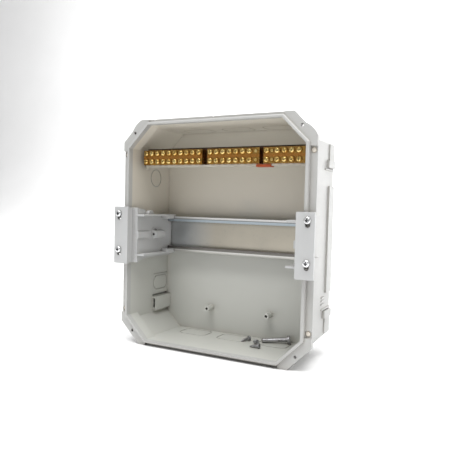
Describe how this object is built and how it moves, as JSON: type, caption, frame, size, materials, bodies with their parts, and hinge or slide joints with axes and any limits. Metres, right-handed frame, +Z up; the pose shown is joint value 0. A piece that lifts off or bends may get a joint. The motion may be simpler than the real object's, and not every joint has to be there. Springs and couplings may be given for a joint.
{
  "type": "flush-mounting distribution box",
  "caption": "Flush-mounting subpanel box with chamfered corners, open front, top-hat rail on two adjustable brackets and slotted brass terminal bars.",
  "frame": {"origin": "centre of the bounding box's base", "axes": "+Z up the box, +Y from the open front into the wall, +X to the right seen from the front"},
  "size_m": [0.195, 0.0784, 0.209],
  "materials": {
    "box_abs": "satin moulded",
    "bracket_abs": "satin moulded",
    "rail_steel": "galvanised",
    "screw_zinc": "zinc plated",
    "terminal_brass": "bright drawn",
    "base_brown": "matt",
    "support_plastic": "matt",
    "clip_orange": "matt",
    "plug_cream": "matt",
    "loose_steel": "plain steel"
  },
  "bodies": {
    "case": {"enclosure_box": "box_abs", "flange_plugs": "plug_cream", "terminal_support": "support_plastic", "terminal_base": "base_brown", "terminal_bar_left": "terminal_brass", "terminal_bar_middle": "terminal_brass", "terminal_bar_right": "terminal_brass", "terminal_screws_left": "terminal_brass", "terminal_screws_middle": "terminal_brass", "terminal_screws_right": "terminal_brass", "bar_fixing_screws": "terminal_brass", "terminal_clip": "clip_orange"},
    "rail_frame": {"din_rail": "rail_steel", "rail_bracket_right": "bracket_abs", "rail_bracket_left": "bracket_abs"},
    "screw_upper_left": {"bracket_screw_upper_left": "screw_zinc"},
    "screw_lower_left": {"bracket_screw_lower_left": "screw_zinc"},
    "screw_upper_right": {"bracket_screw_upper_right": "screw_zinc"},
    "screw_lower_right": {"bracket_screw_lower_right": "screw_zinc"},
    "long_screw": {"loose_long_screw": "loose_steel"},
    "small_screws": {"loose_small_screws": "loose_steel"}
  },
  "joints": [
    {"name": "rail_height", "type": "slide", "parent": "case", "child": "rail_frame", "axis": [0, 0, 1], "range_m": [0, 0.0035]},
    {"name": "turn_upper_left", "type": "hinge", "parent": "case", "child": "screw_upper_left", "pos_m": [-0.09175, -0.0392, 0.12225], "axis": [0, -1, 0], "range_deg": [0, 360]},
    {"name": "turn_lower_left", "type": "hinge", "parent": "case", "child": "screw_lower_left", "pos_m": [-0.09175, -0.0392, 0.08885], "axis": [0, -1, 0], "range_deg": [0, 360]},
    {"name": "turn_upper_right", "type": "hinge", "parent": "case", "child": "screw_upper_right", "pos_m": [0.09175, -0.0392, 0.12225], "axis": [0, -1, 0], "range_deg": [0, 360]},
    {"name": "turn_lower_right", "type": "hinge", "parent": "case", "child": "screw_lower_right", "pos_m": [0.09175, -0.0392, 0.08885], "axis": [0, -1, 0], "range_deg": [0, 360]},
    {"name": "lift_out_long_screw", "type": "slide", "parent": "case", "child": "long_screw", "axis": [0, -0.7071, 0.7071], "range_m": [0, 0.1]},
    {"name": "lift_out_small_screws", "type": "slide", "parent": "case", "child": "small_screws", "axis": [0, -0.7071, 0.7071], "range_m": [0, 0.1]}
  ]
}
